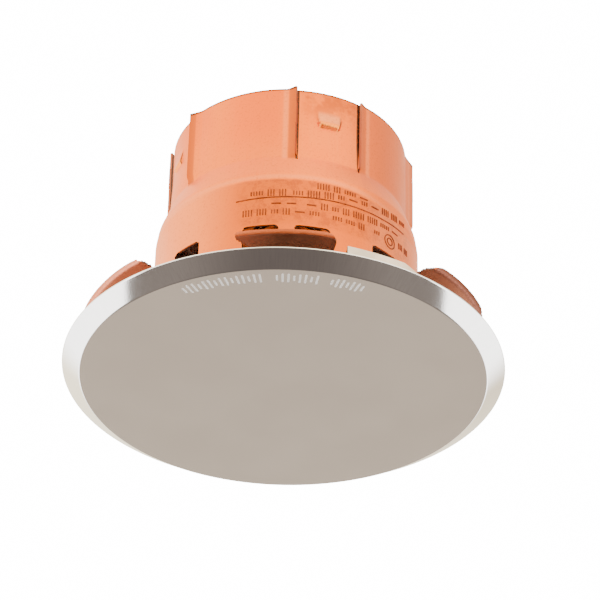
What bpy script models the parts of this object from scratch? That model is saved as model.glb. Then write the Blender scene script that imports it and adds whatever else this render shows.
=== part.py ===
"""A concealed pendent fire sprinkler head: cover plate, slit retainer, and the sprinkler that they hide.

Lengths below are in millimetres and become metres as each object is made. The axis of the head is Z.
The cover plate's lower face is at z = 0, and the threaded inlet points up.
"""

import math

import bmesh
import bpy
from mathutils import Matrix, Vector

# Driving dimensions, in millimetres
MM = 0.001
GAP = 0.3

PLATE_FACE_R = 38.4
PLATE_RIM_R = 42.0
PLATE_RISE = 2.2
PLATE_T = 0.6

SHEET_T = 0.5
BARREL_R = 23.2
BARREL_TOP = 52.4
BARREL_FOOT = 36.2
BOWL_R = 25.6
BOWL_TOP = 29.6
FLANGE_FOOT = 4.6
WING_R = 39.3
WING_TOP = 8.6
NOTCH_CENTRES = (28.7, 88.7, 148.7, 208.7, 268.7, 331.5)
NOTCH_ANGLE = 28.5
NOTCH_ROOT_R = 29.6
WINDOW_PAIRS = 6
WINDOW_OFFSET = -1.3
WINDOW_TOP = 18.9
WINDOW_FOOT = 8.4
WINDOW_INNER_ANGLE = 3.35
WINDOW_OUTER_ANGLE = 19.9
FINGER_COUNT = 4
FINGER_CENTRE = 19.0
FINGER_HALF_ANGLE = 15.5
SLIT_FOOT = 35.5
SLIT_WIDTH = 0.5
TOOTH_TOP = 47.6
TOOTH_FOOT = 44.3
TOOTH_HALF_WIDTH = 2.6
TOOTH_RISE = 0.9

LEG_COUNT = 3
LEG_ANGLE = -31.3
LEG_WIDTH = 7.0
LEG_FOOT_R = 31.5
LEG_FOOT = 1.7
SOLDER_R = 1.9
SOLDER_T = 0.5

SPRING_ANGLE = 28.7
SPRING_R = 38.8
SPRING_T = 0.4
SPRING_START = -12.5
SPRING_END = 10.0
SPRING_TOP = 6.1
SPRING_FOOT_START = 4.6
SPRING_FOOT_END = 2.9
SPRING_TAB_R = 27.2
SPRING_TAB_HALF_WIDTH = 1.9
SPRING_TAB_TOP = 4.3
RIVET_R = 0.9
RIVET_AT_R = 27.5
RIVET_HEAD_R = 1.6
RIVET_HEAD_T = 0.6
FLANGE_TOP_AT_RIVET = 5.8

INLET_TOP = 61.5
INLET_R = 10.3
INLET_BORE_R = 8.0
THREAD_FOOT = 49.5
NECK_R = 10.1
ORIFICE_R = 5.5
SHOULDER_R = 13.0
SHOULDER_TOP = 37.0
SEAT_Z = 33.4
WRENCH_FLATS = 23.0
ARM_HALF_WIDTH = 1.9
ARM_T = 2.4
YOKE_R = 4.2
YOKE_TOP = 14.6
YOKE_FOOT = 9.6
EAR_T = 2.2
EAR_HALF_WIDTH = 2.3

RING_R = 22.3
RING_FOOT = 37.3
RING_T = 1.3
NUT_FLATS = 27.0
NUT_T = 4.0

SCREW_R = 2.0
BULB_R = 1.9
BULB_FOOT = 13.7
BULB_TOP = 30.3
PIN_AT = 9.5
PIN_R = 1.0
PIN_TOP = 30.6
PIN_TRAVEL = 14.0
DEFLECTOR_R = 12.5
DEFLECTOR_FOOT = 4.2
DEFLECTOR_T = 0.9
DEFLECTOR_SLOTS = 12

FINE = 96
MEDIUM = 48
COARSE = 28


def clear_scene():
    for obj in list(bpy.data.objects):
        bpy.data.objects.remove(obj)


def material(name, colour, roughness, metallic, transmission=0.0):
    made = bpy.data.materials.new(name)
    made.use_nodes = True
    shader = made.node_tree.nodes["Principled BSDF"]
    shader.inputs["Base Color"].default_value = (*colour, 1.0)
    shader.inputs["Roughness"].default_value = roughness
    shader.inputs["Metallic"].default_value = metallic
    shader.inputs["Transmission Weight"].default_value = transmission
    return made


def polar(radius, degrees, z):
    """The angle is counted from the near side, -Y, and grows towards +X."""
    turn = math.radians(degrees)
    return Vector((radius * math.sin(turn), -radius * math.cos(turn), z))


def add_object(name, shell, finish, origin=(0.0, 0.0, 0.0), rotation=0.0):
    """A smooth-shaded object from a bmesh; both the bmesh and the object's origin are in millimetres."""
    bmesh.ops.recalc_face_normals(shell, faces=shell.faces)
    if shell.calc_volume(signed=True) < 0:
        bmesh.ops.reverse_faces(shell, faces=shell.faces)
    shift = Matrix.Scale(MM, 4) @ Matrix.Translation(-Vector(origin))
    bmesh.ops.transform(shell, matrix=shift, verts=shell.verts)
    mesh = bpy.data.meshes.new(name)
    shell.to_mesh(mesh)
    shell.free()
    mesh.shade_smooth()
    mesh.set_sharp_from_angle(angle=math.radians(35))
    obj = bpy.data.objects.new(name, mesh)
    turn = Matrix.Rotation(math.radians(rotation), 4, "Z")
    obj.location = turn @ Vector(origin) * MM
    obj.rotation_euler.z = math.radians(rotation)
    if finish:
        mesh.materials.append(finish)
    bpy.context.scene.collection.objects.link(obj)
    return obj


def turned(profile, segments, centre=(0.0, 0.0)):
    """A closed solid from a loop of (radius, z) points; radius 0 lies on the axis."""
    shell = bmesh.new()
    rings = []
    for radius, z in profile:
        if radius == 0:
            rings.append([shell.verts.new((centre[0], centre[1], z))])
            continue
        ring = []
        for step in range(segments):
            turn = 2 * math.pi * step / segments
            x, y = radius * math.cos(turn), radius * math.sin(turn)
            ring.append(shell.verts.new((centre[0] + x, centre[1] + y, z)))
        rings.append(ring)
    for upper, lower in zip(rings, rings[1:] + rings[:1]):
        for step in range(segments):
            following = (step + 1) % segments
            corners = [upper[step % len(upper)], upper[following % len(upper)],
                       lower[following % len(lower)], lower[step % len(lower)]]
            corners = list(dict.fromkeys(corners))
            if len(corners) > 2:
                shell.faces.new(corners)
    return shell


def block(size, centre=(0.0, 0.0, 0.0), degrees=0.0):
    """A box, placed and then turned about the head's axis."""
    shell = bmesh.new()
    bmesh.ops.create_cube(shell, size=1.0)
    place = Matrix.Rotation(math.radians(degrees), 4, "Z") @ Matrix.Translation(Vector(centre))
    bmesh.ops.transform(shell, matrix=place @ Matrix.Diagonal((*size, 1.0)), verts=shell.verts)
    return shell


def swept_strip(sections):
    """A closed solid through a row of four-cornered sections."""
    shell = bmesh.new()
    rows = [[shell.verts.new(point) for point in section] for section in sections]
    for before, after in zip(rows, rows[1:]):
        for side in range(4):
            following = (side + 1) % 4
            shell.faces.new((before[side], before[following], after[following], after[side]))
    shell.faces.new(reversed(rows[0]))
    shell.faces.new(rows[-1])
    return shell


def prism(sides, flats, foot, top):
    """A regular prism about the axis, given across its flats."""
    corner_r = flats / 2 / math.cos(math.pi / sides)
    return turned([(0, top), (corner_r, top), (corner_r, foot), (0, foot)], sides)


def tool(name, shell, rotation):
    """A helper solid for a Boolean, never rendered."""
    obj = add_object(name, shell, None, rotation=math.degrees(rotation))
    obj.hide_render = True
    obj.display_type = "WIRE"
    return obj


def boolean(obj, operation, name, shell, rotation=0.0):
    modifier = obj.modifiers.new(name, "BOOLEAN")
    modifier.operation = operation
    modifier.object = tool(f"{obj.name}_{name}", shell, rotation)
    modifier.solver = "EXACT"


def cut(obj, name, shell):
    boolean(obj, "DIFFERENCE", name, shell)


def join(obj, name, shell, rotation=0.0):
    boolean(obj, "UNION", name, shell, rotation)


def merged(shells):
    """Several separate solids in one bmesh, for one Boolean."""
    whole = bmesh.new()
    for shell in shells:
        spare = bpy.data.meshes.new("spare")
        shell.to_mesh(spare)
        shell.free()
        whole.from_mesh(spare)
        bpy.data.meshes.remove(spare)
    return whole


# Cover plate

def make_cover_plate(finish):
    outside = PLATE_RISE + PLATE_T
    profile = [
        (0, PLATE_T), (PLATE_FACE_R - 0.3, PLATE_T), (PLATE_FACE_R + 0.5, PLATE_T + 0.25),
        (PLATE_RIM_R - 0.2, outside), (PLATE_RIM_R, outside - 0.1), (PLATE_RIM_R, PLATE_RISE),
        (PLATE_FACE_R + 0.6, 0.2), (PLATE_FACE_R, 0), (0, 0),
    ]
    add_object("cover_plate", turned(profile, FINE), finish)


# Retainer

def retainer_profile():
    inside_barrel = BARREL_R - SHEET_T
    inside_bowl = BOWL_R - SHEET_T
    shoulder_steps = 4
    outer = [(BARREL_R, BARREL_TOP), (BARREL_R, BARREL_FOOT)]
    inner = [(inside_barrel, BARREL_TOP), (inside_barrel, BARREL_FOOT - 0.2)]
    for step in range(1, shoulder_steps + 1):
        bend = math.pi / 2 * step / shoulder_steps
        out = (BOWL_R - BARREL_R) * math.sin(bend)
        z = BOWL_TOP
        if step < shoulder_steps:
            z += (BARREL_FOOT - BOWL_TOP) * math.cos(bend) ** 0.9
        outer.append((BARREL_R + out, z))
        inner.append((inside_barrel + out, z - 0.2))
    outer += [
        (BOWL_R, FLANGE_FOOT + 1.5), (BOWL_R + 0.5, FLANGE_FOOT + 0.8), (BOWL_R + 1.4, FLANGE_FOOT + 0.6),
        (WING_R - 0.9, WING_TOP - 0.75), (WING_R - 0.45, WING_TOP), (WING_R, WING_TOP),
    ]
    inner += [
        (inside_bowl, FLANGE_FOOT + 1.3), (inside_bowl + 0.4, FLANGE_FOOT + 0.4),
        (BOWL_R + 1.4, FLANGE_FOOT), (WING_R - 0.7, WING_TOP - 1.3), (WING_R, WING_TOP - 0.8),
    ]
    return outer + inner[::-1]


def wedge_cutter(degrees):
    """The notch between two wings."""
    half = math.radians(NOTCH_ANGLE / 2)
    near, far = NOTCH_ROOT_R, WING_R + 3.0
    middle = math.radians(degrees)
    corners = []
    for radius, side in ((near, -1), (far, -1), (far, 1), (near, 1)):
        turn = middle + side * half
        corners.append((radius * math.sin(turn), -radius * math.cos(turn)))
    lower = [(*corner, FLANGE_FOOT - 2) for corner in corners]
    upper = [(*corner, WING_TOP + 2) for corner in corners]
    return swept_strip([lower, upper])


def window_cutter(degrees):
    width = 2 * BOWL_R * math.sin(math.radians((WINDOW_OUTER_ANGLE - WINDOW_INNER_ANGLE) / 2))
    height = WINDOW_TOP - WINDOW_FOOT
    return block((width, 6.0, height), (0, -BOWL_R, WINDOW_FOOT + height / 2), degrees)


def slit_cutter(degrees):
    height = BARREL_TOP + 2 - SLIT_FOOT
    return block((SLIT_WIDTH, 4.0, height), (0, -BARREL_R, SLIT_FOOT + height / 2), degrees)


def tooth(degrees):
    """A half-moon pressed outwards: its flat top runs into the finger, and its round foot stands proud."""
    shell = bmesh.new()
    height = TOOTH_TOP - TOOTH_FOOT
    outline = []
    steps = 8
    for step in range(steps + 1):
        turn = math.pi * step / steps
        outline.append((TOOTH_HALF_WIDTH * math.cos(turn), TOOTH_TOP - height * math.sin(turn)))
    front = []
    back = []
    for across, z in outline:
        proud = TOOTH_RISE * (TOOTH_TOP - z) / height
        turn = degrees + math.degrees(across / BARREL_R)
        front.append(shell.verts.new(polar(BARREL_R + 0.02 + proud, turn, z)))
        back.append(shell.verts.new(polar(BARREL_R - SHEET_T / 2, turn, z)))
    shell.faces.new(front)
    shell.faces.new(reversed(back))
    for one in range(len(front)):
        two = (one + 1) % len(front)
        shell.faces.new((front[one], back[one], back[two], front[two]))
    return shell


def solder_leg(degrees):
    """A tab from the flange's root down to the plate, with a flat foot that the solder holds."""
    half = LEG_WIDTH / 2
    t = SHEET_T
    line = [(BOWL_R + 0.3, FLANGE_FOOT + 0.15), (BOWL_R + 1.8, FLANGE_FOOT + 0.05),
            (LEG_FOOT_R - 2.4, LEG_FOOT), (LEG_FOOT_R + 2.4, LEG_FOOT)]
    turn = Matrix.Rotation(math.radians(degrees), 4, "Z")
    sections = []
    for radius, z in line:
        corners = [(-half, -radius, z), (half, -radius, z), (half, -radius, z + t), (-half, -radius, z + t)]
        sections.append([turn @ Vector(corner) for corner in corners])
    return swept_strip(sections)


def make_retainer(finish):
    retainer = add_object("retainer", turned(retainer_profile(), FINE), finish)
    pairs = [WINDOW_OFFSET + 360 / WINDOW_PAIRS * k for k in range(WINDOW_PAIRS)]
    window_middle = (WINDOW_INNER_ANGLE + WINDOW_OUTER_ANGLE) / 2
    windows = [pair + side * window_middle for pair in pairs for side in (-1, 1)]
    fingers = [FINGER_CENTRE + 360 / FINGER_COUNT * k for k in range(FINGER_COUNT)]
    slits = [f + side * FINGER_HALF_ANGLE for f in fingers for side in (-1, 1)]
    cut(retainer, "notches", merged(wedge_cutter(c) for c in NOTCH_CENTRES))
    cut(retainer, "windows", merged(window_cutter(w) for w in windows))
    cut(retainer, "slits", merged(slit_cutter(s) for s in slits))
    join(retainer, "teeth", merged(tooth(f) for f in fingers))
    join(retainer, "legs", merged(solder_leg(LEG_ANGLE + 360 / LEG_COUNT * k) for k in range(LEG_COUNT)))
    cut(retainer, "rivet_holes", merged(rivet_holes()))


def make_solder_joints(finish):
    for k in range(LEG_COUNT):
        centre = polar(LEG_FOOT_R, LEG_ANGLE + 360 / LEG_COUNT * k, 0)
        foot = PLATE_T + GAP
        top = foot + SOLDER_T
        profile = [(0, top), (SOLDER_R - 0.3, top), (SOLDER_R, foot + 0.1), (SOLDER_R, foot), (0, foot)]
        add_object(f"solder_joint_{k + 1}", turned(profile, COARSE, centre.xy), finish, centre)


# Ejector springs

def spring_band():
    """The leaf round the notch, whose far end bends down to press on the plate."""
    sections = []
    steps = 8
    for step in range(steps + 1):
        share = step / steps
        turn = SPRING_START + (SPRING_END - SPRING_START) * share
        foot = SPRING_FOOT_START + (SPRING_FOOT_END - SPRING_FOOT_START) * share
        top = SPRING_TOP - 1.2 * max(0, share - 0.85) / 0.15
        sections.append([polar(SPRING_R, turn, foot), polar(SPRING_R + SPRING_T, turn, foot),
                         polar(SPRING_R + SPRING_T, turn, top), polar(SPRING_R, turn, top)])
    return swept_strip(sections)


def spring_arm():
    """The flat tab that runs in under the flange's root and turns up into the band at its near end."""
    turn = Matrix.Rotation(math.radians(SPRING_START), 4, "Z")
    half = SPRING_TAB_HALF_WIDTH
    under = SPRING_TAB_TOP - SPRING_T
    line = [(SPRING_TAB_R - 1.2, under), (SPRING_TAB_R + 3.0, under),
            (SPRING_R - 1.0, SPRING_FOOT_START + 0.2), (SPRING_R + 0.15, SPRING_FOOT_START + 0.7)]
    sections = []
    for radius, z in line:
        corners = [(0.0, -radius, z), (2 * half, -radius, z),
                   (2 * half, -radius, z + SPRING_T), (0.0, -radius, z + SPRING_T)]
        sections.append([turn @ Vector(corner) for corner in corners])
    return swept_strip(sections)


def rivet_angle(k):
    near_end = SPRING_ANGLE + 360 / LEG_COUNT * k + SPRING_START
    return near_end + math.degrees(SPRING_TAB_HALF_WIDTH / RIVET_AT_R)


def rivet_holes():
    centres = [polar(RIVET_AT_R, rivet_angle(k), 0).xy for k in range(LEG_COUNT)]
    return [cylinder(RIVET_R + GAP, 0, 12, centre) for centre in centres]


def make_springs(finish):
    """Each spring's origin is on its flexing line, at the inner end of its tab."""
    for k in range(LEG_COUNT):
        hinge = polar(SPRING_TAB_R - 1.2, rivet_angle(0) - SPRING_ANGLE, SPRING_TAB_TOP)
        spring = add_object(f"ejector_spring_{k + 1}", spring_band(), finish, hinge,
                            SPRING_ANGLE + 360 / LEG_COUNT * k)
        join(spring, "arm", spring_arm(), spring.rotation_euler.z)
        cut(spring, "rivet_holes", merged(rivet_holes()))


def make_rivets(finish):
    foot = SPRING_TAB_TOP - SPRING_T - GAP
    top = FLANGE_TOP_AT_RIVET
    edge = RIVET_HEAD_R - 0.3
    for k in range(LEG_COUNT):
        centre = polar(RIVET_AT_R, rivet_angle(k), 0)
        profile = [(0, top + RIVET_HEAD_T), (edge, top + RIVET_HEAD_T), (RIVET_HEAD_R, top),
                   (RIVET_R, top), (RIVET_R, foot), (RIVET_HEAD_R, foot), (edge, foot - RIVET_HEAD_T),
                   (0, foot - RIVET_HEAD_T)]
        add_object(f"spring_rivet_{k + 1}", turned(profile, COARSE, centre.xy), finish, centre)


# Sprinkler body

def body_profile():
    return [
        (INLET_BORE_R, INLET_TOP), (INLET_R - 0.7, INLET_TOP), (INLET_R - 0.1, INLET_TOP - 0.9),
        (INLET_R, THREAD_FOOT), (NECK_R, THREAD_FOOT - 0.6), (NECK_R, SHOULDER_TOP),
        (SHOULDER_R, SHOULDER_TOP), (SHOULDER_R, SEAT_Z + 0.8), (SHOULDER_R - 0.8, SEAT_Z),
        (ORIFICE_R, SEAT_Z), (ORIFICE_R, SEAT_Z + 8), (INLET_BORE_R - 0.3, THREAD_FOOT),
    ]


def frame_arm(side):
    """One bowed arm from the wrench shoulder down to the yoke."""
    top = Vector((0, 10.8, SHOULDER_TOP - 1.6))
    bow = Vector((0, 14.0, 24.0))
    knee = Vector((0, 11.6, 12.6))
    foot = Vector((0, YOKE_R - 1.6, 12.0))
    sections = []
    steps = 12
    for step in range(steps + 1):
        s = step / steps
        r = 1 - s
        point = r**3 * top + 3 * r * r * s * bow + 3 * r * s * s * knee + s**3 * foot
        slope = 3 * r * r * (bow - top) + 6 * r * s * (knee - bow) + 3 * s * s * (foot - knee)
        across = Vector((0, -slope.z, slope.y)).normalized() * ARM_T / 2
        width = Vector((ARM_HALF_WIDTH * (1 - 0.1 * math.sin(math.pi * s)), 0, 0))
        inner = point - across
        outer = point + across
        section = [inner - width, inner + width, outer + width, outer - width]
        sections.append([Vector((p.x, side * p.y, p.z)) for p in section])
    return swept_strip(sections)


def pin_ears():
    """The bar across the yoke that the guide pins slide through, with round ends."""
    shell = bmesh.new()
    top = YOKE_TOP - 0.4
    steps = 10
    outline = []
    for side in (1, -1):
        for step in range(steps + 1):
            turn = math.pi * (step / steps - 0.5)
            across = PIN_AT + EAR_HALF_WIDTH * math.cos(turn)
            outline.append((side * across, side * EAR_HALF_WIDTH * math.sin(turn)))
    lower = [shell.verts.new((x, y, top - EAR_T)) for x, y in outline]
    upper = [shell.verts.new((x, y, top)) for x, y in outline]
    shell.faces.new(reversed(lower))
    shell.faces.new(upper)
    for one in range(len(outline)):
        two = (one + 1) % len(outline)
        shell.faces.new((lower[one], lower[two], upper[two], upper[one]))
    return shell


def cylinder(radius, foot, top, centre=(0.0, 0.0), segments=COARSE):
    return turned([(0, top), (radius, top), (radius, foot), (0, foot)], segments, centre)


def make_body(finish):
    body = add_object("sprinkler_body", turned(body_profile(), MEDIUM), finish)
    for side in (-1, 1):
        middle = (side * (WRENCH_FLATS / 2 + 5), 0, (SHOULDER_TOP + SEAT_Z) / 2)
        cut(body, f"flat_{side}", block((10, 40, SHOULDER_TOP - SEAT_Z + 2), middle))
    yoke_profile = [(0, YOKE_TOP), (YOKE_R, YOKE_TOP), (YOKE_R, YOKE_FOOT + 0.5),
                    (YOKE_R - 0.5, YOKE_FOOT), (0, YOKE_FOOT)]
    for side in (-1, 1):
        join(body, f"arm_{side}", frame_arm(side))
    join(body, "yoke", turned(yoke_profile, COARSE))
    join(body, "ears", pin_ears())
    for side in (-1, 1):
        cut(body, f"pin_hole_{side}", cylinder(PIN_R + GAP, YOKE_FOOT, YOKE_TOP + 2, (side * PIN_AT, 0)))
    cut(body, "screw_hole", cylinder(SCREW_R + GAP, YOKE_FOOT - 2, YOKE_TOP + 2))


def make_support_ring(finish):
    top = RING_FOOT + RING_T
    bore = NECK_R + 0.4
    profile = [(bore, top), (RING_R - 0.3, top), (RING_R, top - 0.3), (RING_R, RING_FOOT + 0.3),
               (RING_R - 0.3, RING_FOOT), (bore, RING_FOOT)]
    ring = add_object("support_ring", turned(profile, MEDIUM + 12), finish)
    vents = [block((7.5, 2.6, 4), (0, -18.2, RING_FOOT), 30 + 60 * k) for k in range(6)]
    cut(ring, "vents", merged(vents))


def make_lock_nut(finish):
    foot = RING_FOOT + RING_T + GAP
    nut = add_object("lock_nut", prism(6, NUT_FLATS, foot, foot + NUT_T), finish)
    cut(nut, "bore", cylinder(NECK_R + 0.4, foot - 1, foot + NUT_T + 1, segments=MEDIUM))


# Valve and heat-responsive element

def make_valve(cap_finish, spring_finish):
    flange = 6.6
    step = SEAT_Z - 1.0
    plug = ORIFICE_R - 0.6
    cap = [(0, step + 3.2), (plug - 0.3, step + 3.2), (plug, step + 2.8), (plug, step),
           (flange, step), (flange, step - 1.1), (2.6, step - 1.4), (2.2, BULB_TOP - 0.3),
           (1.2, BULB_TOP - 0.3), (1.0, BULB_TOP + 0.3), (0, BULB_TOP + 0.3)]
    add_object("valve_cap", turned(cap, COARSE), cap_finish)
    inner, outer = ORIFICE_R - 0.2, 7.0
    washer = [(inner, step + 0.8), (outer, step + 0.45), (outer, step + 0.22), (inner, step + 0.57)]
    add_object("disc_spring", turned(washer, COARSE), spring_finish)


def make_bulb(finish):
    profile = [(0, BULB_TOP), (0.5, BULB_TOP), (0.75, BULB_TOP - 0.4), (0.8, BULB_TOP - 1.6),
               (1.4, BULB_TOP - 2.3), (BULB_R, BULB_TOP - 3.3), (BULB_R, BULB_FOOT + 3.0),
               (1.5, BULB_FOOT + 1.8), (0.85, BULB_FOOT + 0.9), (0.6, BULB_FOOT), (0, BULB_FOOT)]
    add_object("glass_bulb", turned(profile, COARSE), finish)


def make_load_screw(finish):
    top = BULB_FOOT + 0.3
    foot = YOKE_FOOT + 0.2
    profile = [(0, top - 0.6), (1.1, top - 0.6), (1.2, top), (SCREW_R, top), (SCREW_R, foot), (0, foot)]
    screw = add_object("load_screw", turned(profile, COARSE), finish)
    cut(screw, "socket", prism(6, 2.0, foot - 1, foot + 1.6))


# Deflector on its guide pins

def make_deflector(finish):
    top = DEFLECTOR_FOOT + DEFLECTOR_T
    profile = [(0, top + 0.5), (2.2, top + 0.5), (3.2, top), (DEFLECTOR_R, top),
               (DEFLECTOR_R, DEFLECTOR_FOOT), (3.0, DEFLECTOR_FOOT), (2.0, DEFLECTOR_FOOT + 0.4),
               (0, DEFLECTOR_FOOT + 0.4)]
    deflector = add_object("deflector", turned(profile, MEDIUM), finish)
    slots = []
    for k in range(DEFLECTOR_SLOTS):
        depth = 5.5 if k % 3 else 4.2
        middle = (0, -(DEFLECTOR_R - depth / 2 + 0.5), DEFLECTOR_FOOT)
        slots.append(block((1.3, depth + 1, 4), middle, 360 / DEFLECTOR_SLOTS * k + 15))
    cut(deflector, "slots", merged(slots))
    holes = [cylinder(PIN_R + GAP, 0, 10, (side * PIN_AT, 0)) for side in (-1, 1)]
    cut(deflector, "pin_holes", merged(holes))


def make_guide_pins(pin_finish, stop_finish):
    for side, word in ((-1, "left"), (1, "right")):
        centre = (side * PIN_AT, 0)
        head_top = DEFLECTOR_FOOT - GAP
        pin = [(0, PIN_TOP), (PIN_R - 0.3, PIN_TOP), (PIN_R, PIN_TOP - 0.3), (PIN_R, head_top),
               (PIN_R + 0.8, head_top), (PIN_R + 0.6, head_top - 0.8), (0, head_top - 0.8)]
        add_object(f"guide_pin_{word}", turned(pin, COARSE, centre), pin_finish, (*centre, YOKE_TOP))
        foot = YOKE_TOP + PIN_TRAVEL + GAP
        near, far = PIN_R + GAP, PIN_R + 1.1
        stop = [(near, foot + 1.1), (far, foot + 1.1), (far, foot), (near, foot)]
        add_object(f"pin_stop_{word}", turned(stop, COARSE, centre), stop_finish, (*centre, YOKE_TOP))


def main():
    clear_scene()
    copper = material("copper_sheet", (0.83, 0.42, 0.25), 0.35, 1.0)
    satin = material("satin_plate", (0.46, 0.41, 0.37), 0.3, 1.0)
    brass = material("brass", (0.72, 0.53, 0.27), 0.3, 1.0)
    steel = material("spring_steel", (0.72, 0.71, 0.69), 0.25, 1.0)
    bronze = material("bronze", (0.6, 0.42, 0.25), 0.35, 1.0)
    solder = material("solder", (0.55, 0.55, 0.56), 0.45, 1.0)
    glass = material("bulb_glass", (0.8, 0.08, 0.06), 0.05, 0.0, 0.8)
    make_cover_plate(satin)
    make_retainer(copper)
    make_solder_joints(solder)
    make_springs(steel)
    make_rivets(steel)
    make_body(brass)
    make_support_ring(steel)
    make_lock_nut(brass)
    make_valve(brass, steel)
    make_bulb(glass)
    make_load_screw(brass)
    make_deflector(bronze)
    make_guide_pins(steel, steel)


main()
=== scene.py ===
"""The looks of a concealed fire sprinkler head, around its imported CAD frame.

Lengths in the builders are millimetres, scaled to metres as each piece is made. The head's axis is Z and the
cover plate's lower face is at z = 0. Angles are in degrees, counted from the near side, -Y, and growing
towards +X. Corners of a profile are (radius, z) or (radius, z, rounding).
"""

import math

import bmesh
import bpy
import numpy as np
from mathutils import Matrix, Vector


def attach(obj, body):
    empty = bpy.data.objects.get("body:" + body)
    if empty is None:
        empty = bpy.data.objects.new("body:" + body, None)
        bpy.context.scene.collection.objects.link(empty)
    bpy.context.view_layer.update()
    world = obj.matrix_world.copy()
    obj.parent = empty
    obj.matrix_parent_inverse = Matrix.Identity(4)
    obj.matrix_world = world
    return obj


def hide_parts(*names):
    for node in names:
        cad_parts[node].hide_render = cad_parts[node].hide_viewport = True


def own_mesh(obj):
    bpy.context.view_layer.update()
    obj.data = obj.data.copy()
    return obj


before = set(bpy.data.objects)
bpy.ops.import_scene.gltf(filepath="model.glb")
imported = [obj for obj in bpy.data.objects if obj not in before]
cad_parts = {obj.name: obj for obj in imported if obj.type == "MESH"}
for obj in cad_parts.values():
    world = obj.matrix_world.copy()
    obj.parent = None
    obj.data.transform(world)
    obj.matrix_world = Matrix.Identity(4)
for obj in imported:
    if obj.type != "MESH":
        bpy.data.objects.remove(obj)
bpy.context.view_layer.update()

MM = 0.001

# The retainer's sheet. Lists go round it: notches, window pairs and fingers are all places, in degrees.
SHEET_T = 0.5
BARREL_R = 22.95
BARREL_TOP = 52.4
NOTCH_CENTRES = [28.5, 88.7, 148.7, 208.7, 268.7, 330.0]
NOTCH_HALF_ANGLE = 14.8
NEAR_WING = 5
WING_UNDERCUT = 4.2
UNDERCUT_FROM_R = 38.9
UNDERCUT_DEPTH = 3.2
WING_LIFTS = [1.15, 0.0, 0.2, 0.0, 0.35, 0.0]
WING_WIDER = [2.3, 1.5, 1.5, 1.5, 2.4, 0.0]
WING_CORNERS = [5.0, 5.0, 5.0, 5.0, 2.8, 2.0]
ROOT_FILLET = 1.6
NOTCH_ROOT_R = 29.8
WINDOW_PAIRS = [57.4, 118.5, 178.5, 238.5, 301.2, 359.6]
WINDOW_MIDDLE = 11.0
WINDOW_HALF_ANGLE = 7.7
WINDOW_TOP = 18.9
WINDOW_FOOT = 8.4
WINDOW_CORNER = 0.9
FINGER_CENTRES = [19.0 + 90 * k for k in range(4)]
FINGER_HALF_ANGLE = 15.5
SLIT_HALF_WIDTH = 0.2
SLIT_FOOT = 35.5
FINGER_LEAN = 0.3
FINGER_TUCK = 1.6
FLARES = {  # (finger, side of it): how far the edge beside its slit is bent out, and over what angle
    (0, -1): (1.15, 5.5), (0, 1): (0.6, 4.5), (1, -1): (1.75, 10.5), (3, -1): (0.75, 3.5), (3, 1): (1.2, 8.0),
}
OTHER_FLARE = (1.0, 6.5)
TOOTH_TOP = 47.9
TOOTH_FOOT = 44.1
TOOTH_HALF_WIDTH = 2.6
TOOTH_RISES = [0.8, 0.8, 0.8, 0.4]
BOWL_OUTSIDE_R = 25.6
MARK_SUNK = 0.08
MARK_PROUD = 0.03
DASH = 1.8
LEG_ANGLES = [-31.3 + 120 * k for k in range(3)]
LEG_HALF_WIDTH = 3.5
LEG_FOOT_R = 31.5
LEG_FOOT = 1.95

# The cover plate and the springs that push it off
PLATE_T = 0.6
RIM_T = 0.4
PLATE_FACE_R = 38.4
PLATE_RIM_R = 42.0
PLATE_RISE = 2.2
SPRING_ANGLES = [28.7 + 120 * k for k in range(3)]
SPRING_R = 38.8
SPRING_T = 0.4
SPRING_START = -12.5
SPRING_END = 8.8
SPRING_TOP = 6.1
SPRING_TAB_R = 27.2
SPRING_TAB_HALF_WIDTH = 1.9
SPRING_TAB_TOP = 4.3
RIVET_AT_R = 27.5
RIVET_OFFSET = SPRING_START + math.degrees(SPRING_TAB_HALF_WIDTH / RIVET_AT_R)

# The sprinkler inside
THREAD_PITCH = 1.81
THREAD_DEPTH = 0.85
INLET_R = 10.3
INLET_TOP = 61.5
THREAD_FOOT = 49.5
SHOULDER_TOP = 37.0
WRENCH_FLATS = 23.0
NUT_FLATS = 27.0
VENTS_AT = 18.2
PIN_AT = 9.5
EAR_R = 2.3
DEFLECTOR_R = 12.5
DEFLECTOR_FOOT = 4.2
DEFLECTOR_T = 0.9


# Meshes

def linked(name, mesh, sharp):
    """An object that shows this mesh, smooth but for edges sharper than this angle."""
    mesh.shade_smooth()
    mesh.set_sharp_from_angle(angle=math.radians(sharp))
    obj = bpy.data.objects.new(name, mesh)
    bpy.context.scene.collection.objects.link(obj)
    return obj


def from_bmesh(name, shell, sharp=38):
    bmesh.ops.recalc_face_normals(shell, faces=shell.faces)
    if shell.calc_volume(signed=True) < 0:
        bmesh.ops.reverse_faces(shell, faces=shell.faces)
    bmesh.ops.scale(shell, vec=(MM, MM, MM), verts=shell.verts)
    mesh = bpy.data.meshes.new(name)
    shell.to_mesh(mesh)
    shell.free()
    return linked(name, mesh, sharp)


def about_z(degrees):
    return Matrix.Rotation(math.radians(degrees), 4, "Z")


def oblong(left, right, foot, top):
    return (left, foot), (right, foot), (right, top), (left, top)


def polar(radius, degrees, z):
    turn = math.radians(degrees)
    return Vector((radius * math.sin(turn), -radius * math.cos(turn), z))


def rounded(before, here, after, rounding, count):
    """Points of the curve that rounds one corner."""
    before, here, after = (np.array(p[:2], float) for p in (before, here, after))
    if rounding <= 0:
        return [here]
    into = (here - before) / np.linalg.norm(here - before)
    out = (after - here) / np.linalg.norm(after - here)
    reach = rounding * math.tan(math.acos(max(-1, min(1, float(into @ out)))) / 2)
    start, end = here - into * reach, here + out * reach
    return [(1 - t) ** 2 * start + 2 * t * (1 - t) * here + t**2 * end for t in np.linspace(0, 1, count)]


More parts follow.
